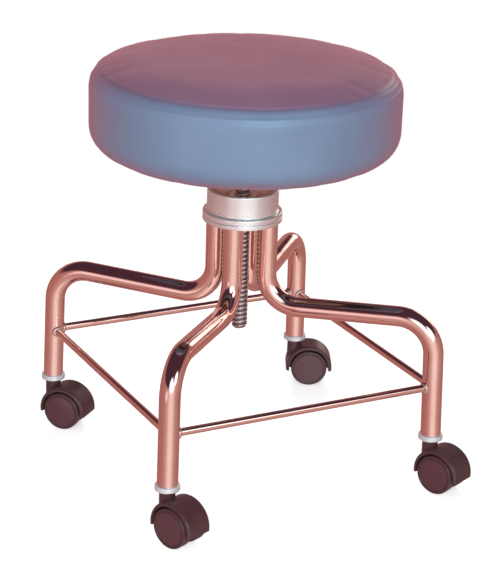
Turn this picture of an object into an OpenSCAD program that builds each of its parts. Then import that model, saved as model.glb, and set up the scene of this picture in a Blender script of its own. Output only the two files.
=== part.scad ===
// Rolling stool with a padded round seat that turns up and down on a screw.
// Four S-bent tube legs stand on twin-wheel casters, four rods brace them, and their
// upper ends meet under a flanged nut inside a turned collar.
// The origin lies on the floor, on the axis of the screw.

/* [Seat] */
// Diameter of the padded seat
seat_d = 382; // [340:1:420]
// Height of the padded seat, from its underside to the middle of its top
seat_h = 116; // [95:1:130]
// Gap between the collar's rim and the seat's underside as the stool stands
seat_gap = 47; // [42:1:62]
// Rise of the middle of the top above the crest of its rounded edge
seat_crown = 6; // [2:0.5:12]
// Radius of the rounded upper edge
top_round = 32; // [20:1:38]
// Radius of the rounded lower edge
bottom_round = 33; // [20:1:38]
// How far the sewn seam lies inside the side of the seat
seam_in = 11; // [6:0.5:16]
// Thickness of the vinyl cover
vinyl_t = 1.2; // [0.8:0.1:2]
// Width of the cover's hem that is turned in under the board
hem_w = 28; // [15:1:40]
// How far the board's edge lies inside the start of the rounded lower edge
board_in = 8; // [2:1:20]
// Thickness of the seat board
board_t = 12; // [9:0.5:18]

/* [Seat fixing] */
// Diameter of the steel plate under the board
plate_d = 160; // [140:1:200]
// Thickness of the steel plate
plate_t = 3; // [2:0.5:5]
// Distance of the seat bolts from the plate's edge
bolt_in = 20; // [14:1:32]
// Thread diameter of the seat bolts
bolt_d = 6; // [5:0.5:8]
// Outer diameter of the boss that holds the screw
boss_d = 36; // [30:1:44]
// Height of that boss below the plate
boss_h = 14; // [10:1:18]
// Thickness of the nylon washer under the boss
washer_t = 4; // [2:0.5:5]
// Outer diameter of the nylon washer
washer_d = 38; // [32:1:50]

/* [Screw] */
// Diameter over the crests of the thread
screw_d = 20.4; // [18:0.1:22]
// Depth of the thread
thread_depth = 1.9; // [1.2:0.1:2.2]
// Rise of the seat for one turn
lead = 6; // [5:0.5:7]
// Number of turns of thread
thread_turns = 32; // [31:1:33]
// How far the plain end that the boss holds lies inside the crests
journal_in = 1.2; // [1.2:0.1:2.2]

/* [Hub] */
// Height of the collar's lower edge above the floor
collar_z = 319; // [313:1:323]
// Clearance between the collar's lip and the legs
lip_gap = 0.3; // [0.3:0.1:3]
// Height of the lip
lip_h = 13; // [11:0.5:14]
// Thickness of the lip's skirt
skirt_t = 2.9; // [2:0.1:4]
// How far the collar's body lies inside its lip
lip_step = 5.2; // [4.7:0.1:6.2]
// Wall of the collar
collar_t = 4; // [3:0.1:5]
// Height of the whole collar
collar_h = 41; // [36:0.5:44]
// Wall of the plated sleeve inside the collar
sleeve_t = 2.4; // [1.5:0.1:4]
// Thickness of the nut's flange
flange_t = 6; // [4:0.5:8]
// Diameter of the nut's boss above the flange
nut_boss_d = 34; // [30:1:40]
// Height of the nut above its flange
nut_boss_h = 16; // [10:1:18]
// Height of the nut's collar between the legs
nut_lower_h = 8; // [5:0.5:10]

/* [Legs] */
// Outer diameter of the leg tubes
tube_d = 25.4; // [22:0.1:26]
// Wall of the leg tubes
tube_t = 1.6; // [1.2:0.1:2]
// Distance of each leg from the screw's axis inside the hub
leg_hub_r = 33.8; // [31:0.1:40]
// Distance of each outer corner from the screw's axis
leg_corner_r = 251.5; // [235:0.5:255]
// Distance of each foot from the screw's axis
leg_foot_r = 256; // [250:0.5:262]
// Height of the inner corner, where the upright would meet the arm
leg_inner_z = 210; // [202:1:217]
// Height of the outer corner, where the arm would meet the post
leg_outer_z = 222; // [212:1:232]
// Centre-line radius of the inner bend
inner_bend_r = 40; // [32:1:46]
// Centre-line radius of the outer bend
outer_bend_r = 45; // [36:1:52]

/* [Braces] */
// Diameter of the brace rods
rod_d = 9.5; // [7:0.5:10]
// Height of the brace rods above the floor
rod_z = 133; // [108:1:148]
// Width of the weld bead round each rod's end
bead_w = 2.2; // [1.5:0.1:2.5]

/* [Casters] */
// Height of the foot ring's underside above the hood
neck_l = 6; // [4:0.5:14]
// Diameter of the wheels
wheel_d = 50; // [46:0.5:54]
// Width over both wheels at their rims
wheels_w = 39; // [34:0.5:44]
// How far the wheels' middle stands out from their rims
dome_h = 2; // [0.5:0.5:4]
// Distance of the axle behind the stem
trail = 21; // [17:0.5:22]
// Clearance between the wheels and the hood round them
well_gap = 2.6; // [1.5:0.1:4]
// Wall of the hood
hood_t = 4.4; // [3:0.1:6]
// Width of the hood
hood_w = 37; // [30:0.5:38]
// Wall of the web between the wheels, beside the stem
web_wall = 1.5; // [1:0.1:3]
// How far the hood reaches below the axle
hood_drop = 4; // [2:0.5:8]
// Diameter of the neck that turns on the stem
neck_d = 19.5; // [16:0.5:24]
// Diameter of the axle
axle_d = 6; // [4:0.5:8]
// Diameter of the stem inside the leg
stem_d = 11; // [10:0.5:12]
// Length of the stem inside the leg
stem_l = 22; // [16:1:24]
// Diameter of the stem inside the neck
pivot_d = 9; // [7:0.5:9]
// Direction in which the front caster trails
front_trail_deg = -23; // [-180:1:180]
// Direction in which the left caster trails
left_trail_deg = -4; // [-180:1:180]
// Direction in which the right caster trails
right_trail_deg = -21; // [-180:1:180]
// Direction in which the back caster trails
back_trail_deg = 19; // [-180:1:180]

/* [Foot rings] */
// How far the foot rings stand out from the tubes
ring_step = 2.55; // [1.5:0.05:4]
// Height of the foot rings
ring_h = 7; // [5:0.5:10]
// Length of the plug inside the tube
plug_l = 26; // [25:1:32]

/* [Hidden] */

// Directions of the legs, and of their casters, in the order front, left, right, back
leg_deg = [-90, 180, 0, 90];
trail_deg = [front_trail_deg, left_trail_deg, right_trail_deg, back_trail_deg];

// Clearances and overruns
press_gap = 0.02;
running_gap = 0.08;
soft_gap = 0.3;
wheel_gap = 0.6;
thread_gap = 0.5;
washer_gap = 0.3;
overrun = 2;

// Heights that several pieces share
lip_top_z = collar_z + lip_h;
collar_top_z = collar_z + collar_h;
seat_under_z = collar_top_z + seat_gap;
seat_top_z = seat_under_z + seat_h;
board_z = seat_under_z + vinyl_t;
plate_z = board_z - plate_t;
boss_z = plate_z - boss_h;
hood_d = wheel_d + 2 * (well_gap + hood_t);
caster_h = wheel_d / 2 + hood_d / 2 + neck_l;
ring_top_z = caster_h + ring_h;
leg_top_z = lip_top_z - skirt_t;
flange_top_z = leg_top_z + flange_t;
nut_top_z = flange_top_z + nut_boss_h;

// Radii that several pieces share
seat_r = seat_d / 2;
plate_r = plate_d / 2;
tube_r = tube_d / 2;
lip_r = leg_hub_r + tube_r + lip_gap + skirt_t;
collar_r = lip_r - lip_step;
bolt_circle_r = plate_r - bolt_in;
ring_r = tube_r + ring_step;
web_t = pivot_d + 2 * web_wall;
screw_r = screw_d / 2;
journal_r = screw_r - journal_in;
thread_bore_r = screw_r + thread_gap;
sleeve_r = collar_r - collar_t - press_gap;
rod_r = rod_d / 2;
stem_r = stem_d / 2;
pivot_r = pivot_d / 2;
wheel_r = wheel_d / 2;
hood_r = hood_d / 2;
axle_r = axle_d / 2;

// Outline of the padded seat. The rounded edges are arcs whose centres stay put when the
// outline is drawn further in, so cover and foam follow each other.
top_arc_r = seat_r - top_round;
top_arc_z = seat_top_z - seat_crown - top_round;
bottom_arc_r = seat_r - bottom_round;
board_r = bottom_arc_r - board_in;
bottom_arc_z = seat_under_z + bottom_round;
seam_deg = acos(1 - seam_in / top_round);
crown_share = 0.45;
edge_power = 8;
top_steps = 12;
arc_steps = 8;

function arc(r, z, radius, from, to, steps) =
    [for (i = [0 : steps])
        let (a = from + (to - from) * i / steps)
        [r + radius * cos(a), z + radius * sin(a)]];
function seam_point(inset) =
    [top_arc_r + (top_round - inset) * cos(seam_deg), top_arc_z + (top_round - inset) * sin(seam_deg)];
function top_fall(share) = crown_share * pow(share, 2) + (1 - crown_share) * pow(share, edge_power);
function top_curve(inset) =
    let (seam = seam_point(inset), middle = seat_top_z - inset)
    [for (i = [0 : top_steps])
        let (s = i / top_steps)
        [s * seam[0], middle - (middle - seam[1]) * top_fall(s)]];
function side_curve(inset) = concat(
    arc(top_arc_r, top_arc_z, top_round - inset, seam_deg, 0, arc_steps),
    arc(bottom_arc_r, bottom_arc_z, bottom_round - inset, 0, -90, arc_steps));
function turned_round(points) = [for (i = [len(points) - 1 : -1 : 0]) points[i]];

// Corner geometry of the legs, in the upright plane through each leg
leg_points = [
    [leg_hub_r, leg_top_z],
    [leg_hub_r, leg_inner_z],
    [leg_corner_r, leg_outer_z],
    [leg_foot_r, ring_top_z]
];
bend_radii = [0, inner_bend_r, outer_bend_r, 0];
function heading(i) =
    atan2(leg_points[i + 1][1] - leg_points[i][1], leg_points[i + 1][0] - leg_points[i][0]);
function turn(i) = heading(i) - heading(i - 1);
function setback(i) = (i == 0 || i == 3) ? 0 : bend_radii[i] * tan(abs(turn(i)) / 2);
function along(i, distance) = leg_points[i] + distance * [cos(heading(i)), sin(heading(i))];
function run(i) = norm(leg_points[i + 1] - leg_points[i]);
post_lean_deg = heading(2) + 90;
bend_swell = 0.05;
bend_lap = 1;
function post_r(z) =
    leg_foot_r + (leg_corner_r - leg_foot_r) * (z - ring_top_z) / (leg_outer_z - ring_top_z);

// Colours
copper_chrome = [0.80, 0.52, 0.44];
satin = [0.86, 0.87, 0.86];
steel = [0.62, 0.58, 0.56];
dark_plastic = [0.20, 0.14, 0.15];
vinyl_top = [0.60, 0.46, 0.50];
vinyl_side = [0.50, 0.58, 0.70];

$fn = 64;

// One straight length of tube in the leg's plane. It reaches a little way into each bend,
// and a free end is grown by extra.
module straight(i, r, extra = 0) {
    before = i == 0 ? extra : bend_lap;
    after = i == 2 ? extra : bend_lap;
    start = along(i, setback(i) - before);
    length = run(i) - setback(i) - setback(i + 1) + before + after;
    translate([start[0], 0, start[1]])
        rotate([0, 90 - heading(i), 0])
            cylinder(r = r, h = length);
}

// The round bend at corner i, which turns left where its angle is positive. Bending leaves
// the tube a trace fuller than in the straights.
module bend(i, r) {
    start = along(i - 1, run(i - 1) - setback(i));
    side = turn(i) > 0 ? 1 : -1;
    toward = heading(i - 1) + side * 90;
    centre = start + bend_radii[i] * [cos(toward), sin(toward)];
    first = side > 0 ? heading(i - 1) - 90 : heading(i) + 90;
    translate([centre[0], 0, centre[1]])
        rotate([90, 0, 0])
            rotate([0, 0, first])
                rotate_extrude(angle = abs(turn(i)))
                    translate([bend_radii[i], 0])
                        circle(r = r + bend_swell);
}

module leg_path(r, extra = 0) {
    straight(0, r, extra);
    bend(1, r);
    straight(1, r);
    bend(2, r);
    straight(2, r, extra);
}

// An S-bent tube, cut level at the hub and at the foot ring
module leg(i) {
    color(copper_chrome)
        rotate([0, 0, leg_deg[i]])
            difference() {
                leg_path(tube_r, overrun);
                leg_path(tube_r - tube_t, 2 * overrun);
                translate([leg_hub_r - tube_d, -tube_d, leg_top_z])
                    cube([2 * tube_d, 2 * tube_d, tube_d]);
                translate([leg_foot_r - tube_d, -tube_d, ring_top_z - tube_d])
                    cube([2 * tube_d, 2 * tube_d, tube_d]);
            }
}

// The full round of a leg's post, used to cope what is welded to it
module post_round(i, r) {
    rotate([0, 0, leg_deg[i]])
        straight(2, r, tube_d);
}

function rod_end(i) = post_r(rod_z) * [cos(leg_deg[i]), sin(leg_deg[i])];

module between_posts(i, j) {
    a = rod_end(i);
    b = rod_end(j);
    translate([a[0], a[1], rod_z])
        rotate([0, 90, atan2(b[1] - a[1], b[0] - a[0])])
            children();
}

function rod_l(i, j) = norm(rod_end(j) - rod_end(i));

// A round rod whose ends are coped to the two legs that it joins
module brace(i, j) {
    color(copper_chrome)
        difference() {
            between_posts(i, j)
                cylinder(r = rod_r, h = rod_l(i, j));
            post_round(i, tube_r);
            post_round(j, tube_r);
        }
}

// The fillet weld round the end of the rod that leaves leg i towards leg j
module weld_bead(i, j) {
    difference() {
        between_posts(i, j)
            cylinder(r1 = rod_r + (tube_r + bead_w) / 2, r2 = rod_r, h = tube_r + bead_w);
        between_posts(i, j)
            translate([0, 0, -overrun])
                cylinder(r = rod_r, h = rod_l(i, j));
        post_round(i, tube_r);
    }
}

module brace_welds() {
    color(satin)
        for (pair = [[0, 1], [0, 2], [3, 2], [3, 1]]) {
            weld_bead(pair[0], pair[1]);
            weld_bead(pair[1], pair[0]);
        }
}

module at_foot(i) {
    translate([leg_foot_r * cos(leg_deg[i]), leg_foot_r * sin(leg_deg[i]), 0])
        children();
}

ring_edge = 1.2;
stem_bore_h = stem_l + overrun;

// A ring with a plug that fills the end of the tube and grips the caster's stem
module foot_ring(i) {
    color(satin)
        difference() {
            union() {
                at_foot(i)
                    translate([0, 0, caster_h])
                        rotate_extrude()
                            polygon([
                                [0, 0], [ring_r - ring_edge, 0], [ring_r, ring_edge],
                                [ring_r, ring_h - ring_edge], [ring_r - ring_edge, ring_h], [0, ring_h]]);
                rotate([0, 0, leg_deg[i]])
                    translate([leg_foot_r, 0, ring_top_z])
                        rotate([0, -post_lean_deg, 0])
                            cylinder(r = tube_r - tube_t - press_gap, h = plug_l);
            }
            at_foot(i)
                translate([0, 0, caster_h - overrun])
                    cylinder(r = stem_r + press_gap, h = stem_bore_h + overrun);
        }
}

neck_top_z = caster_h - wheel_gap;
pivot_bottom_z = wheel_r + hood_r - 2 * axle_d + wheel_gap;
stem_tip = 1;

// A steel stem, held still in the leg, on which the caster turns
module stem(i) {
    color(steel)
        at_foot(i)
            rotate_extrude()
                polygon([
                    [0, pivot_bottom_z], [pivot_r, pivot_bottom_z], [pivot_r, caster_h],
                    [stem_r, caster_h], [stem_r, caster_h + stem_l - stem_tip],
                    [stem_r - stem_tip, caster_h + stem_l], [0, caster_h + stem_l]]);
}

// The threaded nut: a flange on the four leg ends, with a boss above and one between the legs
module hub_nut() {
    lower_r = leg_hub_r - tube_r - soft_gap;
    color(steel)
        rotate_extrude()
            polygon([
                [thread_bore_r, leg_top_z - nut_lower_h], [lower_r, leg_top_z - nut_lower_h],
                [lower_r, leg_top_z], [sleeve_r, leg_top_z], [sleeve_r, flange_top_z],
                [nut_boss_d / 2, flange_top_z], [nut_boss_d / 2, nut_top_z - stem_tip],
                [nut_boss_d / 2 - stem_tip, nut_top_z], [thread_bore_r, nut_top_z]]);
}

// A plated sleeve that stands on the flange and lines the collar
module hub_sleeve() {
    color(copper_chrome)
        translate([0, 0, flange_top_z])
            difference() {
                cylinder(r = sleeve_r, h = collar_top_z - flange_top_z - collar_t / 2);
                translate([0, 0, -overrun])
                    cylinder(r = sleeve_r - sleeve_t, h = collar_h);
            }
}

rim_round = collar_t / 2;
lip_round = skirt_t / 2;
groove_depth = 0.9;

// A turned collar: its lip hides the leg ends, and its body hides the nut
module hub_collar() {
    inner_r = collar_r - collar_t;
    bead_h = lip_h / 2;
    color(satin)
        rotate_extrude()
            polygon(concat(
                [[inner_r, leg_top_z], [lip_r - skirt_t, leg_top_z], [lip_r - skirt_t, collar_z]],
                arc(lip_r - lip_round, collar_z + lip_round, lip_round, -90, 0, 4),
                [[lip_r, collar_z + bead_h - lip_round], [lip_r - groove_depth, collar_z + bead_h],
                 [lip_r, collar_z + bead_h + lip_round]],
                arc(lip_r - lip_round, lip_top_z - lip_round, lip_round, 0, 90, 4),
                arc(collar_r + lip_round, lip_top_z + lip_round, lip_round, 270, 180, 4),
                arc(collar_r - rim_round, collar_top_z - rim_round, rim_round, 0, 180, 8)));
}

// A loose nylon washer that rides up and down under the boss
module lift_washer() {
    color("ivory")
        translate([0, 0, boss_z - washer_gap - washer_t])
            difference() {
                cylinder(r = washer_d / 2, h = washer_t);
                translate([0, 0, -overrun])
                    cylinder(r = thread_bore_r, h = washer_t + 2 * overrun);
            }
}

// The screw is one closed skin: helical lines for the root, the two flanks and the crest,
// a level ring of points at each end, and the plain end on top.
thread_sides = 16;
root_r = screw_r - thread_depth;
journal_l = boss_h + plate_t + washer_gap + washer_t + 2 * lead;
thread_top_z = board_z - journal_l;
root_share = 0.34;
flank_share = 0.16;
crest_share = 0.34;
screw_z = thread_top_z - (thread_turns + 1 + flank_share) * lead;
last = thread_turns * thread_sides;

line_shares = [0, root_share, root_share + flank_share, root_share + flank_share + crest_share];
line_radii = [root_r, root_r, screw_r, screw_r];
function ring_points(r, z) =
    [for (j = [0 : thread_sides - 1]) let (a = 360 * j / thread_sides) [r * cos(a), r * sin(a), z]];
function helix_points(k) =
    [for (j = [0 : last]) let (a = 360 * j / thread_sides)
        [line_radii[k] * cos(a), line_radii[k] * sin(a),
         screw_z + lead * (j / thread_sides + line_shares[k]) + lead * flank_share / 2]];
top_line = [for (j = [last - thread_sides : last]) let (a = 360 * j / thread_sides)
        [root_r * cos(a), root_r * sin(a),
            screw_z + lead * (j / thread_sides + 1) + lead * flank_share / 2]];
screw_tip = 1.5;
screw_points = concat(
    helix_points(0), helix_points(1), helix_points(2), helix_points(3), top_line,
    ring_points(root_r, screw_z), ring_points(root_r - screw_tip, screw_z - screw_tip),
    ring_points(root_r, thread_top_z), ring_points(journal_r - press_gap, thread_top_z + lead / 2),
    ring_points(journal_r - press_gap, board_z));
line_size = last + 1;
top_at = 4 * line_size;
rings_at = top_at + thread_sides + 1;
function line(k, j) = k * line_size + j;
function top_of(j) = top_at + j - (last - thread_sides);
function upper(j) = j + thread_sides <= last ? line(0, j + thread_sides) : top_of(j);
function ring(k, j) = rings_at + k * thread_sides + j % thread_sides;
function two(a, b, c, d) = [[a, b, c], [a, c, d]];
function strip(first, k) = [for (j = [0 : thread_sides - 1]) each
        two(ring(first, j), ring(first, j + 1), ring(first + k, j + 1), ring(first + k, j))];

function thread_faces() = [for (j = [0 : last - 1]) each concat(
        two(line(0, j), line(0, j + 1), line(1, j + 1), line(1, j)),
        two(line(1, j), line(1, j + 1), line(2, j + 1), line(2, j)),
        two(line(2, j), line(2, j + 1), line(3, j + 1), line(3, j)),
        two(line(3, j), line(3, j + 1), upper(j + 1), upper(j)))];
function foot_faces() = concat(
    [for (j = [0 : thread_sides - 2]) each two(ring(0, j), ring(0, j + 1), line(0, j + 1), line(0, j))],
    let (s = thread_sides, v = line(0, s - 1))
    [[ring(0, s - 1), ring(0, 0), v], [v, ring(0, 0), line(0, 0)], [v, line(0, 0), line(1, 0)],
     [v, line(1, 0), line(0, s)],
     [line(1, 0), line(2, 0), line(0, s)], [line(2, 0), line(3, 0), line(0, s)]]);
function head_faces() = concat(
    [for (j = [1 : thread_sides - 1]) each
        two(top_of(last - thread_sides + j), top_of(last - thread_sides + j + 1),
            ring(2, j + 1), ring(2, j))],
    let (first = last - thread_sides, v = top_of(first + 1))
    [[line(0, last), v, line(1, last)], [line(1, last), v, top_of(last)],
     [top_of(last), v, ring(2, 0)], [ring(2, 0), v, ring(2, 1)],
     [line(2, last), line(1, last), top_of(last)], [line(3, last), line(2, last), top_of(last)]]);

function screw_faces() = concat(
    thread_faces(), foot_faces(), head_faces(), strip(1, -1), strip(2, 1), strip(3, 1),
    [[for (j = [thread_sides - 1 : -1 : 0]) ring(1, j)]],
    [[for (j = [0 : thread_sides - 1]) ring(4, j)]]);

module lift_screw() {
    color(steel)
        polyhedron(screw_points, [for (face = screw_faces()) turned_round(face)]);
}

// The boss is welded to the underside of the plate and grips the plain end of the screw
module screw_boss() {
    color(steel)
        translate([0, 0, boss_z])
            difference() {
                rotate_extrude()
                    polygon([
                        [0, 0], [boss_d / 2 - stem_tip, 0], [boss_d / 2, stem_tip],
                        [boss_d / 2, boss_h - plate_t], [boss_d / 2 + plate_t, boss_h], [0, boss_h]]);
                translate([0, 0, -overrun])
                    cylinder(r = journal_r, h = boss_h + 2 * overrun);
            }
}

module at_bolts() {
    for (k = [0 : 3])
        rotate([0, 0, 45 + 90 * k])
            translate([bolt_circle_r, 0, 0])
                children();
}

bolt_r = bolt_d / 2;
bolt_hole_r = bolt_r + soft_gap;
head_h_share = 0.65;
head_r_share = 0.96;
barrel_share = 0.75;
tee_flange_share = 1.6;
head_h = head_h_share * bolt_d;
head_r = head_r_share * bolt_d;
barrel_wall = 1;
barrel_r = bolt_r + barrel_wall;
barrel_l = barrel_share * board_t;
tee_flange_r = tee_flange_share * bolt_d;
tee_flange_t = 1.4;

module seat_plate() {
    color(steel)
        translate([0, 0, plate_z])
            difference() {
                cylinder(r = plate_r, h = plate_t);
                translate([0, 0, -overrun])
                    cylinder(r = journal_r, h = plate_t + 2 * overrun);
                at_bolts()
                    translate([0, 0, -overrun])
                        cylinder(r = bolt_hole_r, h = plate_t + 2 * overrun);
            }
}

// Four hexagon bolts that draw the board down onto the plate
module seat_bolts() {
    color(satin)
        at_bolts() {
            translate([0, 0, plate_z - head_h])
                cylinder(r = head_r, h = head_h, $fn = 6);
            translate([0, 0, plate_z])
                cylinder(r = bolt_r, h = plate_t + board_t - tee_flange_t);
        }
}

// Four tee nuts let into the top of the board
module tee_nuts() {
    color(steel)
        at_bolts()
            translate([0, 0, board_z + board_t])
                difference() {
                    union() {
                        translate([0, 0, -tee_flange_t])
                            cylinder(r = tee_flange_r, h = tee_flange_t);
                        translate([0, 0, -barrel_l])
                            cylinder(r = barrel_r, h = barrel_l);
                    }
                    translate([0, 0, -barrel_l - overrun])
                        cylinder(r = bolt_r + press_gap, h = barrel_l + 2 * overrun);
                }
}

module seat_board() {
    color("burlywood")
        translate([0, 0, board_z])
            difference() {
                cylinder(r = board_r, h = board_t);
                at_bolts() {
                    translate([0, 0, -overrun])
                        cylinder(r = bolt_hole_r, h = board_t + 2 * overrun);
                    translate([0, 0, board_t - barrel_l])
                        cylinder(r = barrel_r + press_gap, h = barrel_l + overrun);
                    translate([0, 0, board_t - tee_flange_t])
                        cylinder(r = tee_flange_r + press_gap, h = tee_flange_t + overrun);
                }
            }
}

// The foam fills the cover above the board and wraps round the board's edge
module seat_foam() {
    inset = vinyl_t + soft_gap;
    inner_r = board_r + soft_gap;
    color("moccasin")
        rotate_extrude()
            polygon(concat(
                top_curve(inset), side_curve(inset),
                [[inner_r, seat_under_z + inset], [inner_r, board_z + board_t], [0, board_z + board_t]]));
}

// The top panel of the cover, down to the seam
module cover_top() {
    color(vinyl_top)
        rotate_extrude()
            polygon(concat(top_curve(0), turned_round(top_curve(vinyl_t))));
}

// The side band of the cover, from the seam down and in under the board
module cover_band() {
    hem_r = bottom_arc_r - hem_w;
    color(vinyl_side)
        rotate_extrude()
            polygon(concat(
                side_curve(0), [[hem_r, seat_under_z], [hem_r, board_z]],
                turned_round(side_curve(vinyl_t))));
}

cloth_t = 0.8;

// The cloth that hides the hem's raw edge round the plate
module under_cloth() {
    color("dimgray")
        translate([0, 0, board_z - cloth_t])
            difference() {
                cylinder(r = bottom_arc_r - hem_w - soft_gap, h = cloth_t);
                translate([0, 0, -overrun])
                    cylinder(r = plate_r + soft_gap, h = cloth_t + 2 * overrun);
            }
}

// Each caster is drawn with its stem on the Z axis and its axle trailing along +X
module at_caster(i) {
    at_foot(i)
        rotate([0, 0, trail_deg[i]])
            children();
}

module on_axle() {
    translate([trail, 0, wheel_r])
        rotate([90, 0, 0])
            children();
}

hood_round = 3;
web_boss_r = 8;

function hood_profile() = concat(
    [[0, -hood_w / 2]],
    arc(hood_r - hood_round, -hood_w / 2 + hood_round, hood_round, -90, 0, 4),
    arc(hood_r - hood_round, hood_w / 2 - hood_round, hood_round, 0, 90, 4),
    [[0, hood_w / 2]]);

// The hood: a rounded drum over both wheels, a web between them, and a neck round the stem
module caster_hood(i) {
    well_w = hood_w / 2 - web_t / 2;
    color(dark_plastic)
        at_caster(i)
            difference() {
                union() {
                    difference() {
                        on_axle()
                            rotate_extrude()
                                polygon(hood_profile());
                        translate([trail - hood_d, -hood_w, wheel_r - hood_drop - hood_d])
                            cube([2 * hood_d, 2 * hood_w, hood_d]);
                    }
                    on_axle()
                        cylinder(r = web_boss_r, h = web_t, center = true);
                    translate([0, 0, wheel_r])
                        cylinder(r = neck_d / 2, h = neck_top_z - wheel_r);
                }
                for (side = [-1, 1])
                    on_axle()
                        translate([0, 0, side * (web_t + well_w + overrun) / 2])
                            cylinder(r = wheel_r + well_gap, h = well_w + overrun, center = true);
                on_axle()
                    cylinder(r = axle_r + press_gap, h = web_t + 2 * overrun, center = true);
                translate([0, 0, pivot_bottom_z - wheel_gap])
                    cylinder(r = pivot_r + running_gap, h = caster_h);
            }
}

rim_t = 3.5;
wheel_round = 2.5;
wheel_hub_t = 4;
wheel_hub_r = axle_r + wheel_hub_t;
disc_t = 5;
dome_steps = 6;
wheel_in = web_t / 2 + wheel_gap;
wheel_out = wheels_w / 2;
axle_end = wheel_out - disc_t / 2;

// A steel pin that both wheels turn on
module caster_axle(i) {
    color(steel)
        at_caster(i)
            on_axle()
                cylinder(r = axle_r, h = 2 * (axle_end - wheel_gap), center = true);
}

function dome_curve() =
    [for (k = [0 : dome_steps]) let (s = 1 - k / dome_steps)
        [s * (wheel_r - wheel_round), wheel_out + dome_h * (1 - s * s)]];

// A wheel with a closed, slightly domed outer face and a hollow inner side
module caster_wheel(i, side) {
    color(dark_plastic)
        at_caster(i)
            on_axle()
                rotate([side > 0 ? 0 : 180, 0, 0])
                    rotate_extrude()
                        polygon(concat(
                            [[axle_r + running_gap, wheel_in], [wheel_hub_r, wheel_in],
                             [wheel_hub_r, wheel_out - disc_t], [wheel_r - rim_t, wheel_out - disc_t],
                             [wheel_r - rim_t, wheel_in], [wheel_r - stem_tip, wheel_in],
                             [wheel_r, wheel_in + stem_tip]],
                            arc(wheel_r - wheel_round, wheel_out - wheel_round, wheel_round, 0, 90, 4),
                            dome_curve(),
                            [[0, axle_end], [axle_r + running_gap, axle_end]]));
}

leg(0);  // leg_front
leg(1);  // leg_left
leg(2);  // leg_right
leg(3);  // leg_back
brace(0, 1);  // brace_front_left
brace(0, 2);  // brace_front_right
brace(3, 2);  // brace_back_right
brace(3, 1);  // brace_back_left
brace_welds();
foot_ring(0);  // foot_ring_front
foot_ring(1);  // foot_ring_left
foot_ring(2);  // foot_ring_right
foot_ring(3);  // foot_ring_back
stem(0);  // stem_front
stem(1);  // stem_left
stem(2);  // stem_right
stem(3);  // stem_back
hub_nut();
hub_sleeve();
hub_collar();
lift_washer();
lift_screw();
screw_boss();
seat_plate();
seat_bolts();
tee_nuts();
seat_board();
seat_foam();
cover_top();
cover_band();
under_cloth();
caster_hood(0);  // hood_front
caster_hood(1);  // hood_left
caster_hood(2);  // hood_right
caster_hood(3);  // hood_back
caster_axle(0);  // axle_front
caster_axle(1);  // axle_left
caster_axle(2);  // axle_right
caster_axle(3);  // axle_back
caster_wheel(0, 1);  // near_wheel_front
caster_wheel(1, 1);  // near_wheel_left
caster_wheel(2, 1);  // near_wheel_right
caster_wheel(3, 1);  // near_wheel_back
caster_wheel(0, -1);  // far_wheel_front
caster_wheel(1, -1);  // far_wheel_left
caster_wheel(2, -1);  // far_wheel_right
caster_wheel(3, -1);  // far_wheel_back
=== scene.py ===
import math

import bmesh
import bpy
import numpy as np
from mathutils import Matrix, Vector


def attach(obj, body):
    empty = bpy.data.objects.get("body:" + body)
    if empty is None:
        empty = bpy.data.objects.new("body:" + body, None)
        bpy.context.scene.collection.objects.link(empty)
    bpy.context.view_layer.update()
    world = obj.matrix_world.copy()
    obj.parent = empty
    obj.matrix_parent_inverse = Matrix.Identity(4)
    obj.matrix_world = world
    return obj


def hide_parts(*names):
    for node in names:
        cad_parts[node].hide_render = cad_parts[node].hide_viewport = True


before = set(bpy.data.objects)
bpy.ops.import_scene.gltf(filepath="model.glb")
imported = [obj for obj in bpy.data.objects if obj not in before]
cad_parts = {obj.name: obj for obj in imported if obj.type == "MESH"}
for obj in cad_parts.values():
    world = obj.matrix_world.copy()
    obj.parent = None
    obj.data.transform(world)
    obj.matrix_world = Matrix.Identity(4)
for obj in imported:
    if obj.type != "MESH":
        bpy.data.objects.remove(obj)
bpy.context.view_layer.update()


# Legs
# Four lengths of one-inch steel tube, each bent twice into an S: upright in the hub, out along
# the arm and down the post. They are cut level at both ends and plated all over in a polished
# copper-toned chrome.

def placed(name, data):
    """A new object with that data, in the scene."""
    made = bpy.data.objects.new(name, data)
    bpy.context.scene.collection.objects.link(made)
    return made


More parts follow.
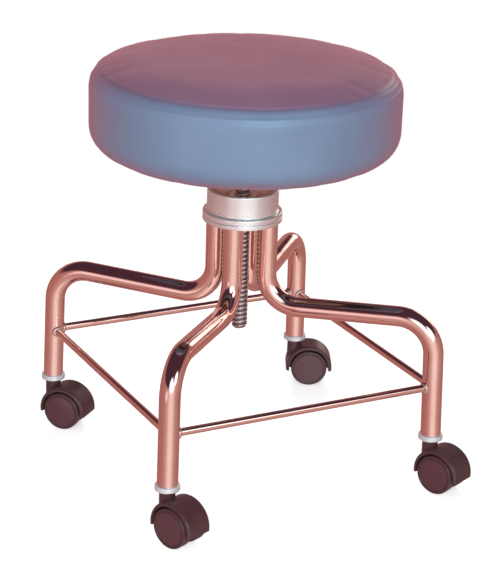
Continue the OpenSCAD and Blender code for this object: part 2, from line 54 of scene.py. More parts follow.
def skin(name, grids, material, sharp=40.0, marks=None, touching=2e-6):
    """One mesh from grids of points. Each grid is an array (rows, columns, 3): neighbouring
    points are joined by four-sided faces, and points closer than touching are merged, so a grid
    that closes repeats its first row or column at its end. The map coordinates of a point are
    the lengths, in metres, along its row and its column, where the grid is widest. Edges of more
    than sharp degrees stay sharp. marks gives each named attribute as a list of arrays, which
    hold one value per point."""
    points, faces, maps, first = [], [], [], 0
    for grid in grids:
        rows, columns = grid.shape[:2]
        index = first + np.arange(rows * columns).reshape(rows, columns)
        faces.append(np.stack([index[:-1, :-1], index[:-1, 1:], index[1:, 1:], index[1:, :-1]],
                              -1).reshape(-1, 4))
        across = np.linalg.norm(np.diff(grid, axis=1), axis=2).max(0)
        down = np.linalg.norm(np.diff(grid, axis=0), axis=2).max(1)
        u = np.concatenate([[0.0], np.cumsum(across)])
        v = np.concatenate([[0.0], np.cumsum(down)])
        maps.append(np.stack(np.broadcast_arrays(u[None, :], v[:, None]), -1).reshape(-1, 2))
        points.append(grid.reshape(-1, 3))
        first += rows * columns
    points, faces, maps = np.concatenate(points), np.concatenate(faces), np.concatenate(maps)
    mesh = bpy.data.meshes.new(name)
    mesh.from_pydata(points, [], faces.tolist())
    mesh.uv_layers.new(name="Lengths").data.foreach_set("uv", maps[faces.ravel()].ravel())
    for key, arrays in (marks or {}).items():
        values = np.concatenate([np.ravel(array) for array in arrays]).astype(np.float32)
        mesh.attributes.new(key, "FLOAT", "POINT").data.foreach_set("value", values)
    shell = bmesh.new()
    shell.from_mesh(mesh)
    bmesh.ops.remove_doubles(shell, verts=shell.verts, dist=touching)
    bmesh.ops.recalc_face_normals(shell, faces=shell.faces)
    shell.to_mesh(mesh)
    shell.free()
    mesh.shade_smooth()
    mesh.set_sharp_from_angle(angle=math.radians(sharp))
    mesh.materials.append(material)
    return placed(name, mesh)


def belongs(piece, body, slot, *stands_for):
    """Lets a piece ride on its body, in place of the CAD nodes named. The slot is not used."""
    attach(piece, body)
    if stands_for:
        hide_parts(*stands_for)
    return piece


def shader_of(material):
    """The surface shader that each new material starts with."""
    return material.node_tree.nodes["Principled BSDF"]


def finish_of(name, colour, roughness, metallic=0.0, sockets=None):
    """A material whose shader has these even values set on its own sockets."""
    material = bpy.data.materials.new(name)
    material.use_nodes = True
    shader = shader_of(material)
    shader.inputs["Base Color"].default_value = (*colour, 1.0)
    shader.inputs["Roughness"].default_value = roughness
    shader.inputs["Metallic"].default_value = metallic
    for socket, value in (sockets or {}).items():
        shader.inputs[socket].default_value = value
    return material


def feed(owner, node, sockets):
    """Gives each socket of a node its value: a plain one, or (node, output) for a link."""
    for socket, value in sockets.items():
        if isinstance(value, tuple) and isinstance(value[0], bpy.types.Node):
            owner.node_tree.links.new(value[0].outputs[value[1]], node.inputs[socket])
        else:
            node.inputs[socket].default_value = value


def add(owner, kind, sockets=None, **settings):
    """A node of that kind, fed as above, in the owner, which is a material or the sky."""
    made = owner.node_tree.nodes.new("ShaderNode" + kind)
    for key, value in settings.items():
        setattr(made, key, value)
    feed(owner, made, sockets or {})
    return made


def ramp(owner, source, stops):
    """A colour ramp fed by (node, output), with stops of (position, grey or colour)."""
    made = add(owner, "ValToRGB", {"Fac": source})
    elements = made.color_ramp.elements
    while len(elements) < len(stops):
        elements.new(0.5)
    for element, (position, colour) in zip(elements, stops):
        element.position = position
        element.color = (*colour, 1.0) if isinstance(colour, tuple) else (colour,) * 3 + (1.0,)
    return made


def shades(material, socket, source, stops):
    """Feeds one socket of the material's shader from a ramp."""
    feed(material, shader_of(material), {socket: (ramp(material, source, stops), "Color")})


def relief(material, source, depth, strength=1.0, below=None):
    """Raises the surface by up to depth metres where the source is 1, on top of below, an
    earlier relief."""
    sockets = {"Height": source, "Distance": depth, "Strength": strength}
    if below:
        sockets["Normal"] = (below, "Normal")
    made = add(material, "Bump", sockets)
    feed(material, shader_of(material), {"Normal": (made, "Normal")})
    return made


def noise(material, scale, detail=3.0, roughness=0.55, stretch=None, by="Object"):
    """Noise on the piece's own coordinates, scale to the metre, stretched by three factors, as
    the (node, output) that feeds a socket."""
    vector = (add(material, "TexCoord"), by)
    if stretch:
        vector = (add(material, "Mapping", {"Vector": vector, "Scale": stretch}), "Vector")
    made = add(material, "TexNoise",
               {"Vector": vector, "Scale": scale, "Detail": detail, "Roughness": roughness})
    return made, "Fac"


plated = finish_of("copper_chrome_plate", (0.87, 0.60, 0.54), 0.10, 1.0,
                   {"Coat Weight": 0.35, "Coat Roughness": 0.04, "Coat IOR": 1.5})
shades(plated, "Base Color", noise(plated, 22.0, 4.0),
       [(0.30, (0.85, 0.56, 0.50)), (0.55, (0.87, 0.60, 0.54)), (0.80, (0.90, 0.65, 0.60))])
shades(plated, "Roughness", noise(plated, 60.0, 5.0, 0.65),
       [(0.35, 0.075), (0.60, 0.11), (0.85, 0.17)])
polish = relief(plated, noise(plated, 900.0, 2.0, 0.5, (1.0, 0.03, 1.0), "UV"), 0.000012)
relief(plated, noise(plated, 18.0, 2.0), 0.00035, 1.0, polish)

tube_r, tube_bore_r = 0.0127, 0.0111
leg_top, foot_top = 0.3291, 0.070
upright_out, inner_bend_z = 0.0338, 0.210
post_out, outer_bend_z = 0.2515, 0.222
foot_out = 0.256
leg_corners = np.array([[upright_out, leg_top], [upright_out, inner_bend_z],
                        [post_out, outer_bend_z], [foot_out, foot_top]])
leg_bends = {1: 0.040, 2: 0.045}
leg_turns = {"front": -90.0, "left": 180.0, "right": 0.0, "back": 90.0}


def bent_line(corners, bends, step_deg=2.5, step=0.012):
    """Points and headings along a line through the corners, in its own plane. A corner with a
    bend is an arc of that radius, which begins radius times tan(half the turn) before it."""
    runs = np.diff(corners, axis=0)
    heads = np.arctan2(runs[:, 1], runs[:, 0])
    points, headings, start = [], [], corners[0]
    for k in range(len(runs)):
        along = np.array([math.cos(heads[k]), math.sin(heads[k])])
        radius = bends.get(k + 1, 0.0)
        turn = heads[k + 1] - heads[k] if radius else 0.0
        end = corners[k + 1] - along * radius * math.tan(abs(turn) / 2)
        pieces = max(2, int(np.linalg.norm(end - start) / step))
        share = np.linspace(0, 1, pieces + 1)[:, None]
        points.append(start + share * (end - start))
        headings.append(np.full(pieces + 1, heads[k]))
        if radius:
            side = math.copysign(1.0, turn)
            centre = end + side * radius * np.array([-along[1], along[0]])
            arc = heads[k] + np.linspace(0, turn, int(abs(math.degrees(turn)) / step_deg) + 2)[1:]
            points.append(centre + side * radius * np.stack([np.sin(arc), -np.cos(arc)], 1))
            headings.append(arc)
        start = points[-1][-1]
    return np.concatenate(points), np.concatenate(headings)


def full_turn(sides):
    """The angles of a ring with that many sides, of which the last closes it."""
    return np.linspace(0, 2 * np.pi, sides + 1)


def tube_rows(line, heads, radius, sides=56):
    """Rings round a line in the plane of distance and height: each point is the line's point,
    plus radius times cosine of the angle along the normal in the plane, plus radius times sine
    of the angle square to the plane. The last ring is carried on along the line to its end's
    level."""
    angle = full_turn(sides)
    out = line[:, 0, None] - radius * np.sin(heads)[:, None] * np.cos(angle)
    up = line[:, 1, None] + radius * np.cos(heads)[:, None] * np.cos(angle)
    beyond = (line[-1, 1] - up[-1]) / np.sin(heads[-1])
    out[-1] += beyond * np.cos(heads[-1])
    up[-1] = line[-1, 1]
    side = np.broadcast_to(radius * np.sin(angle), out.shape)
    return np.stack([out, side, up], -1)


def turned_to(points, degrees):
    """The points turned about the screw's axis."""
    c, s = math.cos(math.radians(degrees)), math.sin(math.radians(degrees))
    return points @ np.array([[c, -s, 0.0], [s, c, 0.0], [0.0, 0.0, 1.0]]).T


leg_line, leg_heads = bent_line(leg_corners, leg_bends)
outside = tube_rows(leg_line, leg_heads, tube_r)
inside = tube_rows(leg_line, leg_heads, tube_bore_r)
leg_wall = np.concatenate([outside, inside[::-1], outside[:1]])
for leg, turn in leg_turns.items():
    tube = skin("leg_tube_" + leg, [turned_to(leg_wall, turn)], plated)
    belongs(tube, "frame", "tube_chrome", "leg_" + leg)


# Brace rods
# Four thin solid rods, plated like the legs. Their ends are coped to the round of the posts that
# they join, 133 mm above the floor.

rod_r, rod_z = 0.00475, 0.133
rod_out = foot_out + (post_out - foot_out) * (rod_z - foot_top) / (outer_bend_z - foot_top)
rod_pairs = [("front", "left"), ("front", "right"), ("back", "right"), ("back", "left")]


def at_leg(leg, out, height):
    """The place in a leg's plane that far out from the screw's axis and that high."""
    return turned_to(np.array([out, 0.0, height]), leg_turns[leg])


def to_post(points, ahead, leg, radius):
    """How far each point has to move in the direction ahead to meet the round of a leg's post:
    the far root of the quadratic for a line meeting a leaning cylinder."""
    foot, top = at_leg(leg, foot_out, foot_top), at_leg(leg, post_out, outer_bend_z)
    axis = (top - foot) / np.linalg.norm(top - foot)
    offset = points - foot
    offset = offset - (offset @ axis)[..., None] * axis
    slant = ahead - (ahead @ axis) * axis
    a, b, c = slant @ slant, offset @ slant, (offset ** 2).sum(-1) - radius ** 2
    return (-b + np.sqrt(np.maximum(b * b - a * c, 0))) / a


def rod_frame(start, finish):
    """The start of a rod, its direction, the direction across it and its length."""
    a, b = at_leg(start, rod_out, rod_z), at_leg(finish, rod_out, rod_z)
    ahead = (b - a) / np.linalg.norm(b - a)
    return a, ahead, np.cross([0.0, 0.0, 1.0], ahead), np.linalg.norm(b - a)


def round_rod(angle, across):
    """Directions square to a level rod: cosine of the angle across plus sine of it upwards."""
    return np.cos(angle)[:, None] * across + np.sin(angle)[:, None] * np.array([0.0, 0.0, 1.0])


def rod_rows(start, finish, radius, sides=32, lengths=25):
    """A ring of the rod's radius where it leaves each post, with ever smaller rings on the
    post's round that close the coped end, and rings between them along the rod."""
    a, ahead, across, length = rod_frame(start, finish)
    ring = round_rod(full_turn(sides), across)
    shrink = np.array([0.0, 0.5, 1.0])[:, None, None]
    first = a + radius * shrink * ring
    first = first + to_post(first, ahead, start, tube_r)[..., None] * ahead
    last = a + length * ahead + radius * shrink[::-1] * ring
    last = last - to_post(last, -ahead, finish, tube_r)[..., None] * ahead
    share = np.linspace(0, 1, lengths + 1)[1:-1, None, None]
    return np.concatenate([first, first[-1] + share * (last[0] - first[-1]), last])


for start, finish in rod_pairs:
    rod = skin(f"brace_rod_{start}_{finish}", [rod_rows(start, finish, rod_r)], plated)
    belongs(rod, "frame", "tube_chrome", f"brace_{start}_{finish}")


# Welds of the brace rods
# Eight fillet welds, one round each rod's end. They were brushed bright after plating burnt off,
# so they are silvery and show the ripples of the weld pool.

def uneven(material, socket, scale, low, high, detail=3.0):
    """Feeds one socket from noise: low to high, over the middle of its range."""
    top = 0.7 if socket == "Base Color" else 0.8
    shades(material, socket, noise(material, scale, detail), [(0.3, low), (top, high)])


weld = finish_of("weld_metal", (0.66, 0.60, 0.56), 0.34, 1.0, {"Coat Weight": 0.1})
shades(weld, "Base Color", noise(weld, 260.0, 4.0),
       [(0.30, (0.42, 0.30, 0.27)), (0.52, (0.68, 0.62, 0.57)), (0.75, (0.86, 0.82, 0.78))])
uneven(weld, "Roughness", 500.0, 0.22, 0.48)
relief(weld, noise(weld, 1400.0), 0.00012)

bead_r, bead_gap = 0.0021, 0.0004
ripples, ripple_depth, swell_depth = 22, 0.10, 0.08


def bead_rows(start, finish, seed):
    """A bead round the curve where a rod leaves a post: round sections on that curve, whose
    size swells and shrinks round the rod like the ripples of a weld pool."""
    a, ahead, across, _ = rod_frame(start, finish)
    angle = full_turn(6 * ripples)
    ring = round_rod(angle, across)
    foot = a + (rod_r + bead_gap) * ring
    foot = foot + to_post(foot, ahead, start, tube_r)[:, None] * ahead
    size = (1 + ripple_depth * np.abs(np.sin(ripples / 2 * angle + seed))
            + swell_depth * np.sin(2 * angle + 2 * seed))
    around = full_turn(14)
    section = (np.cos(around)[:, None, None] * ring + np.sin(around)[:, None, None] * ahead)
    return foot + bead_r * size[:, None] * section


rod_ends = rod_pairs + [(finish, start) for start, finish in rod_pairs]
beads = [bead_rows(start, finish, k) for k, (start, finish) in enumerate(rod_ends)]
belongs(skin("brace_weld_beads", beads, weld, 60.0), "frame", "weld_metal", "brace_welds")


# Foot rings
# A turned aluminium ring on the end of each post, in one piece with the plug that fills the tube
# and grips the caster's stem.

def soft_corners(corners, radius, steps=4):
    """The outline with each inner corner replaced by a curve: the weighted mean of the points
    before, at and after the corner, that runs from radius before it to radius after it, or
    from just under half of a shorter side."""
    corners = np.array(corners, float)
    radii = np.broadcast_to(radius, len(corners))
    line = [corners[:1]]
    for k in range(1, len(corners) - 1):
        back, on = corners[k - 1] - corners[k], corners[k + 1] - corners[k]
        reach = min(radii[k], 0.48 * np.linalg.norm(back), 0.48 * np.linalg.norm(on))
        before = corners[k] + reach * back / np.linalg.norm(back)
        after = corners[k] + reach * on / np.linalg.norm(on)
        t = np.linspace(0, 1, steps + 1)[:, None]
        line.append((1 - t) ** 2 * before + 2 * t * (1 - t) * corners[k] + t ** 2 * after)
    line.append(corners[-1:])
    return np.concatenate(line)


def about_axis(r, angle, z):
    """Points round the screw's axis: x is radius times cosine of the angle, y is radius times
    its sine, z is height."""
    return np.stack(np.broadcast_arrays(r * np.cos(angle), r * np.sin(angle), z), -1)


def turned(outline, sides=96):
    """The outline of (radius, height) turned round the screw's axis."""
    r, z = np.asarray(outline).T[:, :, None]
    return about_axis(r, full_turn(sides), z)


lathe_marks = (60.0, 60.0, 4200.0)
ring_metal = finish_of("ring_aluminium", (0.74, 0.79, 0.84), 0.38, 0.55)
uneven(ring_metal, "Base Color", 120.0, (0.68, 0.73, 0.79), (0.80, 0.84, 0.88))
uneven(ring_metal, "Roughness", 200.0, 0.32, 0.46)
relief(ring_metal, noise(ring_metal, 1.0, 2.0, 0.6, lathe_marks), 0.00003)

hood_top = 0.063
stem_hole_r, plug_r, ring_r = 0.00555, 0.0109, 0.01525
plug_top, ring_edge = hood_top + 0.026, 0.001
groove_z, groove_half, groove_deep = hood_top + 0.0035, 0.0005, 0.0003
ring_outline = soft_corners([
    [stem_hole_r, plug_top], [stem_hole_r, hood_top], [ring_r - ring_edge, hood_top],
    [ring_r, hood_top + ring_edge], [ring_r, groove_z - groove_half],
    [ring_r - groove_deep, groove_z], [ring_r, groove_z + groove_half],
    [ring_r, foot_top - ring_edge], [ring_r - ring_edge, foot_top], [plug_r, foot_top],
    [plug_r, plug_top], [stem_hole_r, plug_top]], 0.0008)
for leg in leg_turns:
    ring_grid = turned(ring_outline, 64) + at_leg(leg, foot_out, 0.0)
    ring = skin("foot_ring_turned_" + leg, [ring_grid], ring_metal)
    belongs(ring, "frame", "satin_metal", "foot_ring_" + leg)


# Hub
# The legs' upper ends are welded under the flange of a steel nut, a short sleeve stands on that
# flange, and a turned satin collar covers both: its lip hides the legs' ends. The nut and the
# sleeve, which no polishing wheel reaches, have a dull copper-toned plate.

dull = finish_of("dull_copper_plate", (0.92, 0.58, 0.50), 0.45, 0.3)
uneven(dull, "Roughness", 90.0, 0.38, 0.55, 4.0)
uneven(dull, "Base Color", 40.0, (0.88, 0.52, 0.44), (0.96, 0.64, 0.56), 4.0)

nut_low, flange_top, nut_top = 0.3211, 0.3351, 0.3511
nut_bore_r, nut_neck_r, nut_body_r, flange_r = 0.0107, 0.0170, 0.0208, 0.0404
nut_fillet, nut_chamfer = 0.0015, 0.0011
nut_outline = soft_corners([
    [nut_bore_r, nut_low], [nut_body_r, nut_low], [nut_body_r, leg_top], [flange_r, leg_top],
    [flange_r, flange_top], [nut_neck_r + nut_fillet, flange_top],
    [nut_neck_r, flange_top + nut_fillet], [nut_neck_r, nut_top],
    [nut_bore_r + nut_chamfer, nut_top], [nut_bore_r, nut_top - nut_chamfer],
    [nut_bore_r, nut_low]], 0.0006)
belongs(skin("lift_nut", [turned(nut_outline)], dull), "frame", "steel", "hub_nut")

sleeve_bore_r, sleeve_top = 0.03808, 0.3578
sleeve_outline = soft_corners([
    [sleeve_bore_r, flange_top], [flange_r, flange_top], [flange_r, sleeve_top],
    [sleeve_bore_r, sleeve_top], [sleeve_bore_r, flange_top]], 0.0007)
belongs(skin("hub_lining", [turned(sleeve_outline)], dull), "frame", "tube_chrome",
        "hub_sleeve")

satin = finish_of("satin_aluminium", (0.91, 0.97, 1.00), 0.26, 0.88, {"Anisotropic": 0.4})
uneven(satin, "Roughness", 40.0, 0.20, 0.33, 4.0)
uneven(satin, "Base Color", 30.0, (0.87, 0.93, 0.96), (0.93, 0.99, 1.00))
relief(satin, noise(satin, 1.0, 2.0, 0.6, lathe_marks), 0.000035)

collar_low, lip_top, collar_top = 0.319, 0.332, 0.360
lip_r, collar_r, collar_bore_r, skirt_bore_r = 0.0497, 0.0445, 0.0405, 0.0468
line_z, line_half, line_deep = 0.3252, 0.0010, 0.0010
collar_outline = np.concatenate([
    soft_corners([[collar_bore_r, leg_top], [skirt_bore_r, leg_top], [skirt_bore_r, collar_low],
                  [lip_r, collar_low], [lip_r, line_z - line_half], [lip_r - line_deep, line_z],
                  [lip_r, line_z + line_half], [lip_r, lip_top], [collar_r, lip_top],
                  [collar_r, lip_top + 0.004], [collar_r, collar_top - 0.004]],
                 [0, 0.0005, 0.0006, 0.0018, 0.0012, 0.0006, 0.0012, 0.0018, 0.0016, 0, 0], 6),
    soft_corners([[collar_r, collar_top - 0.004], [collar_r, collar_top],
                  [collar_bore_r, collar_top], [collar_bore_r, leg_top]],
                 [0, 0.0019, 0.0019, 0], 6)])
belongs(skin("turned_collar", [turned(collar_outline, 160)], satin), "frame", "satin_metal",
        "hub_collar")


# Lift screw and its washer
# A rolled steel screw with a 6 mm lead, plain where the boss grips it. A loose nylon washer
# rides under the boss. The thread is coloured darker at its root and lighter at its crest.

lead = 0.006
screw_r, root_r, journal_r = 0.0102, 0.0083, 0.00898
screw_end, screw_low, thread_top, board_z = 0.17444, 0.17594, 0.3749, 0.4082


def thread_form(share):
    """Height of the thread, from 0 at its root to 1 at its crest, over one pitch: a root, a
    flank, a crest and a flank with rounded corners."""
    return np.interp(share, [0.0, 0.34, 0.37, 0.42, 0.47, 0.50, 0.84, 0.87, 0.92, 0.97, 1.0],
                     [0.0, 0.0, 0.12, 0.50, 0.88, 1.0, 1.0, 0.88, 0.50, 0.12, 0.0])


def screw_rows(sides=48, per_pitch=22):
    """The screw as one sheared grid. Height is row times pitch step plus lead times the turned
    share, held between the thread's ends; radius is the root's plus the thread's depth times
    its form, which fades in at the foot and out at the top. After one turn a row meets the row
    one pitch above it. Level rings close both ends."""
    turns = int((thread_top - screw_low) / lead) + 2
    share = np.linspace(0, 1, sides + 1)
    rows = np.arange(-per_pitch, turns * per_pitch + 1)[:, None] / per_pitch
    z = screw_low + lead * (rows + share)
    held = np.clip(z, screw_low, thread_top)
    fade_in = np.clip((held - screw_low) / (0.6 * lead), 0, 1)
    fade_out = np.clip((thread_top - held) / lead, 0, 1)
    form = thread_form(np.broadcast_to(np.mod(rows, 1.0), z.shape)) * (fade_in * fade_out)
    r = root_r + (screw_r - root_r) * form
    foot = np.array([[0.0, screw_end], [root_r - 0.0022, screw_end],
                     [root_r - 0.0015, screw_end + 0.00016], [root_r, screw_low]])
    head = np.array([[journal_r, thread_top + 0.003], [journal_r, board_z], [0.0, board_z]])
    level = np.ones((1, sides + 1))
    r = np.concatenate([foot[:, :1] * level, r, head[:, :1] * level])
    z = np.concatenate([foot[:, 1:] * level, held, head[:, 1:] * level])
    form = np.pad(form, ((len(foot), len(head)), (0, 0)), constant_values=1.0)
    angle = 2 * np.pi * share
    return about_axis(r, angle, z), form


threaded = finish_of("thread_steel", (0.42, 0.37, 0.38), 0.28, 1.0)
thread_height = add(threaded, "Attribute", attribute_name="thread")
shades(threaded, "Base Color", (thread_height, "Fac"),
       [(0.0, (0.30, 0.25, 0.28)), (0.55, (0.44, 0.41, 0.43)), (1.0, (0.68, 0.68, 0.69))])
shades(threaded, "Roughness", (thread_height, "Fac"), [(0.0, 0.60), (0.8, 0.34), (1.0, 0.22)])
relief(threaded, noise(threaded, 900.0), 0.00004)
screw_grid, thread_mark = screw_rows()
belongs(skin("threaded_spindle", [screw_grid], threaded, 50.0, {"thread": [thread_mark]}),
        "seat", "steel", "lift_screw")

nylon = finish_of("nylon", (0.80, 0.76, 0.66), 0.42, 0.0,
                  {"Subsurface Weight": 0.15, "Subsurface Radius": (0.002, 0.002, 0.0015)})
uneven(nylon, "Base Color", 90.0, (0.72, 0.68, 0.58), (0.84, 0.81, 0.72))
relief(nylon, noise(nylon, 1.0, 2.0, 0.5, (80.0, 80.0, 3000.0)), 0.00003)
washer_bore_r, washer_r, washer_low, washer_top = 0.0107, 0.019, 0.3869, 0.3909
washer_outline = soft_corners([
    [washer_bore_r, washer_low], [washer_r, washer_low], [washer_r, washer_top],
    [washer_bore_r, washer_top], [washer_bore_r, washer_low]], 0.0006)
belongs(skin("nylon_washer", [turned(washer_outline, 64)], nylon), "washer", "nylon",
        "lift_washer")


# Seat plate, boss and bolts
# The boss is welded to the middle of a steel plate, and four zinc-plated hexagon bolts through
# the plate draw the plywood board down onto it. Tee nuts are let into the board's top.

steel = finish_of("bright_steel", (0.50, 0.46, 0.44), 0.30, 1.0)
uneven(steel, "Roughness", 120.0, 0.22, 0.42, 4.0)
uneven(steel, "Base Color", 45.0, (0.40, 0.36, 0.34), (0.58, 0.54, 0.51), 4.0)
relief(steel, noise(steel, 700.0), 0.00003)

boss_z, plate_z = 0.3912, 0.4052
boss_r, weld_r = 0.018, 0.0215
boss_outline = soft_corners([
    [0.0, boss_z], [boss_r - 0.0005, boss_z], [boss_r, boss_z + 0.001],
    [boss_r, plate_z - 0.0035], [boss_r + 0.0008, plate_z - 0.0022],
    [weld_r - 0.001, plate_z - 0.0008], [weld_r, plate_z], [0.0, plate_z]], 0.0008)
belongs(skin("plate_boss", [turned(boss_outline, 64)], steel), "seat", "steel", "screw_boss")

zinc = finish_of("zinc_plate", (0.72, 0.72, 0.70), 0.32, 1.0)
uneven(zinc, "Base Color", 220.0, (0.60, 0.61, 0.58), (0.80, 0.79, 0.74), 4.0)
relief(zinc, noise(zinc, 900.0), 0.00003)

bolts_out, head_low, head_top, head_corner_r = 0.060, plate_z - 0.0039, plate_z - 0.0007, 0.00576
head_chamfer, chamfer_slope = 0.0009, 1.9
flat_washer_r, flat_washer_low = 0.0065, plate_z - 0.0008
shank_r, shank_top = 0.003, plate_z + 0.0136


def hexagon_rows():
    """A hexagon head turned over its chamfer: at each height the radius is the lesser of the
    hexagon's, its flat's distance over cosine of the angle from the flat's middle, and the
    chamfer's cone's."""
    angle = full_turn(72)
    flat = head_corner_r * math.cos(math.pi / 6)
    hexagon = flat / np.cos(np.mod(angle, np.pi / 3) - np.pi / 6)
    heights = np.array([head_top, head_top, head_low + head_chamfer,
                        head_low + 0.66 * head_chamfer, head_low + 0.33 * head_chamfer,
                        head_low, head_low])[:, None]
    cone = head_corner_r - chamfer_slope * np.maximum(head_low + head_chamfer - heights, 0)
    r = np.minimum(hexagon, cone)
    r[0], r[-1] = 0.0, 0.0
    return about_axis(r, angle, heights)


shank_outline = [[0.0, flat_washer_low], [flat_washer_r - 0.0003, flat_washer_low],
                 [flat_washer_r, flat_washer_low + 0.0003], [flat_washer_r, plate_z],
                 [shank_r, plate_z], [shank_r, shank_top], [0.0, shank_top]]
bolt_grids = []
for quarter in range(4):
    middle = turned_to(np.array([bolts_out, 0.0, 0.0]), 45 + 90 * quarter)
    bolt_grids += [hexagon_rows() + middle, turned(shank_outline, 48) + middle]
belongs(skin("hexagon_bolts", bolt_grids, zinc, 28.0), "seat", "satin_metal", "seat_bolts")

pressed = finish_of("pressed_steel", (0.46, 0.43, 0.41), 0.38, 1.0)
shades(pressed, "Base Color", noise(pressed, 28.0, 5.0, 0.62),
       [(0.28, (0.30, 0.26, 0.24)), (0.5, (0.46, 0.43, 0.41)), (0.75, (0.60, 0.57, 0.54))])
uneven(pressed, "Roughness", 50.0, 0.30, 0.55, 5.0)
relief(pressed, noise(pressed, 420.0, 4.0), 0.00006)
plywood = finish_of("plywood", (0.58, 0.41, 0.24), 0.62)
veins = noise(plywood, 14.0, 6.0, 0.6, (1.0, 16.0, 30.0))
shades(plywood, "Base Color", veins,
       [(0.30, (0.42, 0.27, 0.14)), (0.52, (0.60, 0.43, 0.26)), (0.75, (0.72, 0.56, 0.38))])
relief(plywood, veins, 0.0002)


def refinish(node, material):
    """Gives a CAD node, whose shape is right as it is, this material alone."""
    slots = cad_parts[node].data.materials
    slots.clear()
    slots.append(material)


refinish("seat_plate", pressed)
refinish("seat_board", plywood)
refinish("tee_nuts", zinc)


# Casters
# Twin-wheel casters of dark nylon. A hood covers the upper half of both wheels, its neck turns on
# the steel stem, and a web between the wheels carries the steel axle.

dark = finish_of("hood_nylon", (0.056, 0.022, 0.027), 0.36, 0.0,
                 {"Coat Weight": 0.25, "Coat Roughness": 0.16, "IOR": 1.5})
uneven(dark, "Base Color", 60.0, (0.047, 0.018, 0.022), (0.068, 0.029, 0.034), 5.0)
uneven(dark, "Roughness", 300.0, 0.30, 0.50, 4.0)
relief(dark, noise(dark, 2600.0, 2.0), 0.00005)

tyre = finish_of("wheel_nylon", (0.072, 0.027, 0.036), 0.26, 0.0,
                 {"Coat Weight": 0.5, "Coat Roughness": 0.12, "IOR": 1.5})
tread = add(tyre, "Attribute", attribute_name="tread")
shades(tyre, "Base Color", (tread, "Fac"), [(0.0, (0.072, 0.026, 0.035)),
       (0.6, (0.042, 0.017, 0.021)), (1.0, (0.058, 0.028, 0.031))])
shades(tyre, "Roughness", (tread, "Fac"), [(0.0, 0.24), (1.0, 0.52)])
relief(tyre, noise(tyre, 1500.0), 0.00004)

axle_z, trail = 0.025, 0.021
trail_turns = {"front": -23.0, "left": -4.0, "right": -21.0, "back": 19.0}
wheel_r, axle_hole_r, hub_r, rim_r = 0.0250, 0.00308, 0.007, 0.0215
wheel_in, web_at, wheel_out, disc_crown = 0.0066, 0.0145, 0.0195, 0.002
wheel_outline = np.concatenate([
    soft_corners([[axle_hole_r, 0.017], [axle_hole_r, wheel_in], [hub_r, wheel_in],
                  [hub_r, web_at], [rim_r, web_at], [rim_r, wheel_in],
                  [wheel_r - 0.0002, wheel_in], [wheel_r, 0.0120], [wheel_r - 0.0001, wheel_out],
                  [0.0216, 0.0197], [0.0213, 0.0190], [0.0208, 0.0190], [0.0205, 0.0199]],
                 [0, 0.0004, 0.0005, 0.0006, 0.001, 0.0005, 0.0012, 0.003, 0.0024, 0.0004,
                  0.0002, 0.0002, 0], 5),
    [[r, wheel_out + disc_crown * (1 - (r / 0.0225) ** 2)] for r in np.linspace(0.0202, 0.0, 14)],
    [[0.0, 0.017], [axle_hole_r, 0.017]]])
wheel_grid = turned(wheel_outline, 80)
wheel_mark = np.interp(wheel_outline[:, 0], [0.0, 0.0207, 0.0216, 0.0238, 0.0246, wheel_r],
                       [0.0, 0.0, 0.6, 0.5, 0.9, 1.0])[:, None] * np.ones(wheel_grid.shape[1])


def on_axle(grid, side, leg):
    """Points of a piece turned about an upright axis, laid on a caster's axle: its radius lies
    in the upright plane of the trail, and its height runs along the axle to that side."""
    lying = np.stack([trail + grid[..., 0], -side * grid[..., 2], axle_z + grid[..., 1]], -1)
    return turned_to(lying, trail_turns[leg]) + at_leg(leg, foot_out, 0.0)


for leg in leg_turns:
    for name, side in (("near_wheel_", 1), ("far_wheel_", -1)):
        wheel = skin(name + "moulded_" + leg, [on_axle(wheel_grid, side, leg)], tyre, 42.0,
                     {"tread": [wheel_mark]})
        belongs(wheel, name + leg, "wheel_plastic", name + leg)
    refinish("hood_" + leg, dark)
    refinish("stem_" + leg, steel)
    refinish("axle_" + leg, steel)


# Seat cushion
# A round foam pad in a vinyl cover: a mauve top panel and a blue-grey band are sewn together just
# inside the edge, a ridge of top stitching follows below, and the band's hem is pleated and
# stapled in under the board.

upper_arc, upper_r = np.array([0.159, 0.485]), 0.032
lower_arc, lower_r = np.array([0.158, 0.440]), 0.033
hem_r, hem_z, top_middle = 0.130, 0.407, 0.523
seam = np.radians(48.98)
seam_r, seam_z = upper_arc[0] + upper_r * math.cos(seam), upper_arc[1] + upper_r * math.sin(seam)


def cover_outline(step):
    """Outline of the cover from the middle of the top to the hem's edge: a top that falls by
    0.45 share squared plus 0.55 share to the eighth, the upper and the lower arc, then the
    level hem. Gives the points, which lie a step apart, with each one's length along the
    outline, and the length at the seam."""
    share = np.linspace(0, 1, 400)
    fall = 0.45 * share ** 2 + 0.55 * share ** 8
    top = np.stack([share * seam_r, top_middle - (top_middle - seam_z) * fall], 1)
    upper = seam * np.linspace(1, 0, 120)
    lower = -np.pi / 2 * np.linspace(0, 1, 160)
    line = np.concatenate([
        top, upper_arc + upper_r * np.stack([np.cos(upper), np.sin(upper)], 1)[1:],
        lower_arc + lower_r * np.stack([np.cos(lower), np.sin(lower)], 1), [[hem_r, hem_z]]])
    length = np.concatenate([[0], np.cumsum(np.linalg.norm(np.diff(line, axis=0), axis=1))])
    places = np.linspace(0, length[-1], int(length[-1] / step) + 1)
    line = np.stack([np.interp(places, length, line[:, k]) for k in (0, 1)], 1)
    return line, places, length[len(top) - 1]


def normals_of(line):
    """Outward normals of an outline that runs outwards and down."""
    slope = np.gradient(line, axis=0)
    slope /= np.linalg.norm(slope, axis=1)[:, None]
    return np.stack([-slope[:, 1], slope[:, 0]], 1)


def hump(x, middle, width):
    """A smooth hump of height 1 at the middle: e to the minus square of the distance in
    widths."""
    return np.exp(-((x - middle) / width) ** 2)


